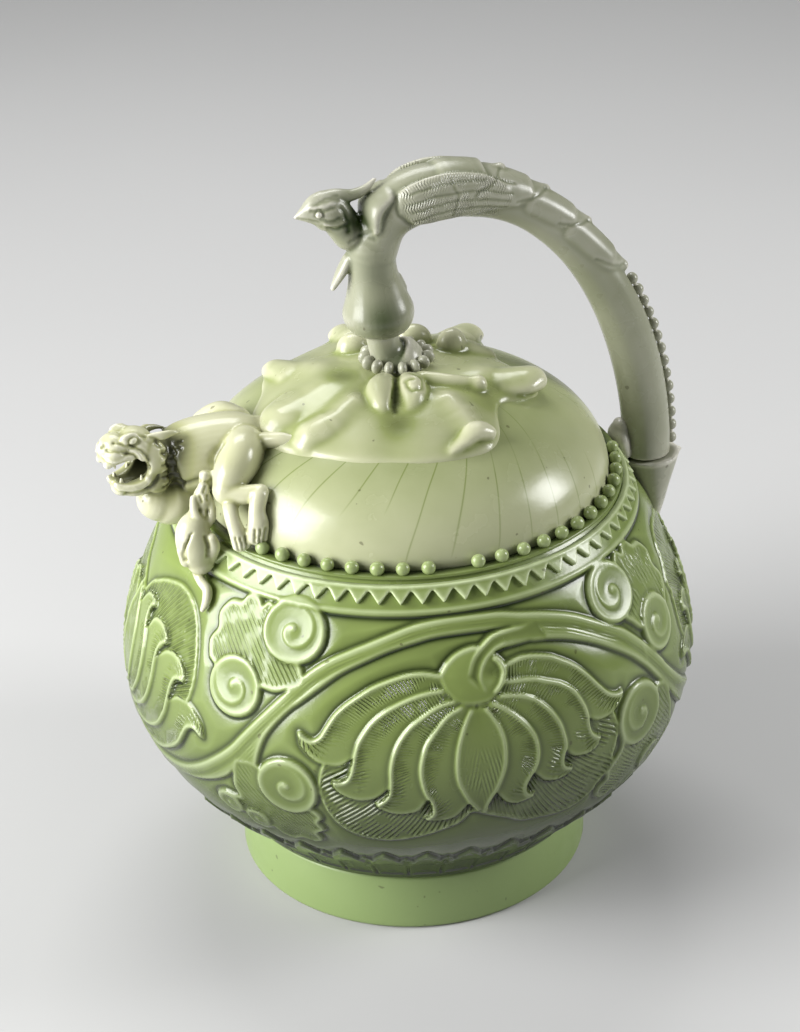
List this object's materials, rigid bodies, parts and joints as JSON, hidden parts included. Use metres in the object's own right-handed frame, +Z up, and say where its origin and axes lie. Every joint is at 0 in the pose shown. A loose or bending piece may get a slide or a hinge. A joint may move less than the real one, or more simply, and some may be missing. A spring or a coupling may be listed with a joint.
{
  "type": "reverse-flow ewer",
  "caption": "Round carved celadon ewer with a mock lid, a phoenix bow handle and a lioness spout, filled from below through a hole in its base and poured from the lioness's mouth.",
  "frame": {"origin": "on the pot's axis, at the plane that the foot stands on", "axes": "+Z up, -X towards the lioness's mouth, +X towards the foot of the bow handle, which stands in the XZ plane"},
  "size_m": [0.1483, 0.143, 0.1836],
  "materials": {
    "body_glaze": "glossy olive celadon, darker where it pools in the carving",
    "lid_glaze": "glossy pale olive celadon with fine craze lines",
    "foot_glaze": "thin satin celadon, yellow-green",
    "handle_glaze": "glossy grey-green celadon, thin and pale on the raised edges",
    "figure_glaze": "glossy cream to olive celadon, brown-green in the recesses",
    "bare_clay": "unglazed grey stoneware"
  },
  "bodies": {
    "root": {"foot_ring": "foot_glaze", "lower_bowl": "body_glaze", "upper_bowl": "body_glaze", "mock_lid": "lid_glaze", "filling_tube": "bare_clay", "spout_duct": "bare_clay", "shoulder_ledge": "body_glaze", "pearls_front": "body_glaze", "pearls_back": "body_glaze", "sawtooth_band": "body_glaze", "persimmon_calyx": "lid_glaze", "calyx_bud": "lid_glaze", "neck_stem": "handle_glaze", "pearl_collar": "handle_glaze", "phoenix_breast": "handle_glaze", "phoenix_body": "handle_glaze", "phoenix_head": "handle_glaze", "phoenix_beak": "handle_glaze", "phoenix_crest": "handle_glaze", "throat_feather": "handle_glaze", "wing_near": "handle_glaze", "wing_far": "handle_glaze", "tail_feather_1": "handle_glaze", "tail_feather_2": "handle_glaze", "tail_feather_3": "handle_glaze", "tail_feather_4": "handle_glaze", "handle_bow": "handle_glaze", "handle_pearls": "handle_glaze", "handle_socket": "handle_glaze", "socket_petal": "handle_glaze", "lion_torso": "figure_glaze", "lion_chest": "figure_glaze", "lion_mane": "figure_glaze", "lion_head": "figure_glaze", "lion_jaw": "figure_glaze", "lion_ear_near": "figure_glaze", "lion_ear_far": "figure_glaze", "lion_thigh_near": "figure_glaze", "lion_thigh_far": "figure_glaze", "lion_paw_near": "figure_glaze", "lion_paw_far": "figure_glaze", "lion_tail": "figure_glaze", "cub_body": "figure_glaze", "cub_head": "figure_glaze", "cub_foreleg_left": "figure_glaze", "cub_foreleg_right": "figure_glaze", "cub_tail": "figure_glaze"}
  },
  "joints": []
}
